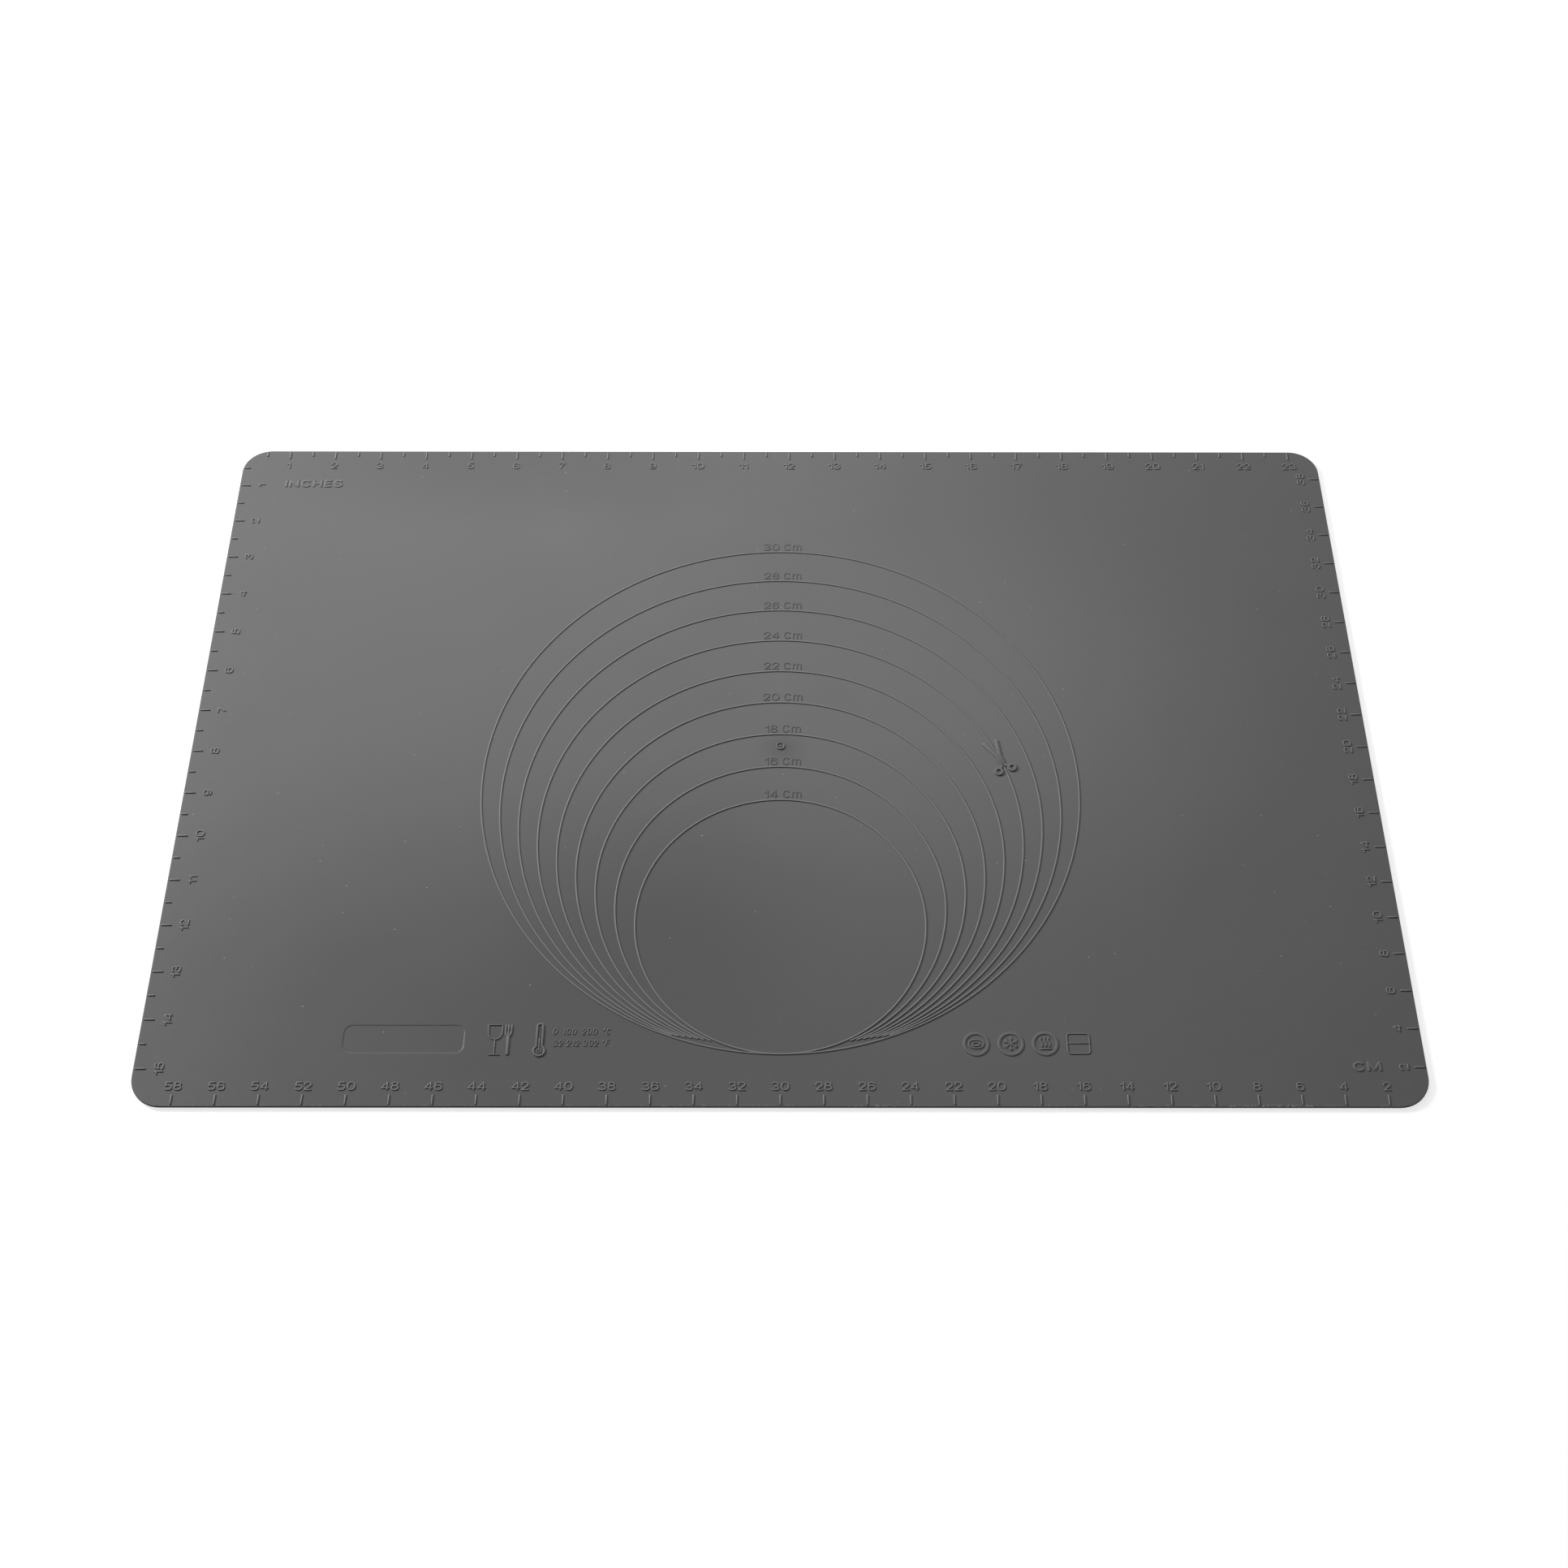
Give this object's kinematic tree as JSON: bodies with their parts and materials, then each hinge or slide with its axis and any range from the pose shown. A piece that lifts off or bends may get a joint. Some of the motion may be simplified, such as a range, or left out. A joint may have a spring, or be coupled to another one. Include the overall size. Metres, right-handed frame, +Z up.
{
  "type": "baking mat",
  "caption": "Flat silicone baking mat with rounded corners, moulded inch and centimetre scales along its edges and nested guide circles that share one point.",
  "frame": {"origin": "under the middle of the sheet, on the surface that the mat lies on", "axes": "+Z up out of the face with the scales, +X along the long side to the right, +Y from the front edge to the back"},
  "size_m": [0.6, 0.4, 0.0019],
  "materials": {
    "silicone": "matte moulded silicone, dark neutral grey"
  },
  "bodies": {
    "root": {"mat_sheet": "silicone", "guide_circle_1": "silicone", "guide_circle_2": "silicone", "guide_circle_3": "silicone", "guide_circle_4": "silicone", "guide_circle_5": "silicone", "guide_circle_6": "silicone", "guide_circle_7": "silicone", "guide_circle_8": "silicone", "guide_circle_9": "silicone"}
  },
  "joints": []
}
